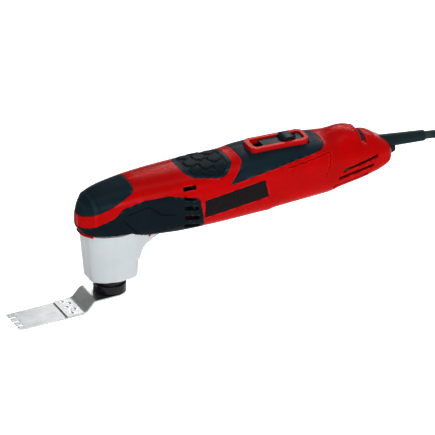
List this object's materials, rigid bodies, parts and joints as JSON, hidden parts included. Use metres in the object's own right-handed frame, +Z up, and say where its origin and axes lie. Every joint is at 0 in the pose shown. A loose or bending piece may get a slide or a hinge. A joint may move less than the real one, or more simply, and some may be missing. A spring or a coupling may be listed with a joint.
{
  "type": "oscillating multi tool",
  "caption": "Corded oscillating multi tool with slide switch, speed dial, geared angle head, soft grips and an offset flush-cut saw blade.",
  "frame": {"origin": "output spindle axis, in the plane against which the blade is clamped", "axes": "+X back along the body to the cord, +Z up along the spindle to the top grip, -Y the left side of the tool"},
  "size_m": [0.618, 0.0765, 0.1174],
  "materials": {
    "red_plastic": "moulded, satin gloss",
    "grip_rubber": "soft matt",
    "cover_plastic": "fine grain",
    "label_film": "printed film",
    "white_enamel": "smooth light enamel",
    "cast_aluminium": "as cast",
    "black_gloss": "black oxide, oiled",
    "steel": "ground",
    "bearing_steel": "polished rings",
    "blade_steel": "bright, brushed along the blade",
    "black_screw": "black oxide",
    "seal_rubber": "matt",
    "lamination": "stacked sheets",
    "copper": "varnished wire and bars",
    "black_plastic": "fine grain",
    "carbon": "dull",
    "brass": "plain",
    "board": "lacquered",
    "capacitor_film": "moulded",
    "cord_rubber": "satin",
    "pin_metal": "nickel plated"
  },
  "bodies": {
    "housing": {"bearing_bracket": "cast_aluminium", "brush_holders": "black_plastic", "brush_springs": "brass", "carbon_brushes": "carbon", "control_parts": "black_plastic", "cord_clamp": "black_plastic", "cord_guard": "black_plastic", "cord_hank": "cord_rubber", "cord_lead": "cord_rubber", "cord_tail": "cord_rubber", "cord_tie": "cord_rubber", "front_bearing": "bearing_steel", "front_grip_pad": "grip_rubber", "gear_case": "cast_aluminium", "gear_head": "white_enamel", "head_screws": "black_screw", "housing_left": "red_plastic", "housing_right": "red_plastic", "housing_screws": "black_screw", "inner_cord": "cord_rubber", "label_panel_left": "label_film", "label_panel_right": "label_film", "noise_capacitor": "capacitor_film", "nose_pad": "grip_rubber", "plug_body": "cord_rubber", "plug_pins": "pin_metal", "potentiometer": "black_plastic", "rear_bearing": "bearing_steel", "rear_bearing_sleeve": "seal_rubber", "rear_grip_pad": "grip_rubber", "side_cover_left": "cover_plastic", "side_cover_right": "cover_plastic", "speed_board": "board", "spindle_bearing_lower": "bearing_steel", "spindle_bearing_upper": "bearing_steel", "spindle_seal": "seal_rubber", "stator_coils": "copper", "stator_core": "lamination", "strain_relief": "cord_rubber", "switch_bezel": "red_plastic", "switch_module": "black_plastic"},
    "output_spindle": {"output_spindle": "steel", "tool_flange": "black_gloss", "swing_fork": "steel", "retaining_ring": "steel", "blade_carrier": "blade_steel", "saw_plate": "blade_steel", "clamp_washer": "steel"},
    "clamp_screw": {"clamp_screw": "black_screw"},
    "armature": {"armature_shaft": "steel", "eccentric_bearing": "bearing_steel", "balance_weight": "steel", "cooling_fan": "black_plastic", "armature_core": "lamination", "armature_windings": "copper", "commutator": "copper"},
    "slide_switch": {"slide_switch": "black_plastic", "switch_rod": "black_plastic"},
    "speed_dial": {"speed_dial": "black_plastic", "dial_shaft": "brass"}
  },
  "joints": [
    {"name": "spindle_swing", "type": "hinge", "parent": "housing", "child": "output_spindle", "pos_m": [0, 0, 0], "axis": [0, 0, 1], "range_deg": [-1.6, 1.6]},
    {"name": "clamp_screw_turn", "type": "hinge", "parent": "output_spindle", "child": "clamp_screw", "pos_m": [0, 0, 0], "axis": [0, 0, 1], "range_deg": [-180, 180]},
    {"name": "motor_spin", "type": "hinge", "parent": "housing", "child": "armature", "pos_m": [0.1, 0, 0.0745], "axis": [1, 0, 0], "continuous": true},
    {"name": "switch_slide", "type": "slide", "parent": "housing", "child": "slide_switch", "axis": [-0.9986, 0, 0.0523], "range_m": [0, 0.008]},
    {"name": "dial_turn", "type": "hinge", "parent": "housing", "child": "speed_dial", "pos_m": [0.2322, 0, 0.0815], "axis": [1, 0, 0], "range_deg": [-135, 135]}
  ]
}
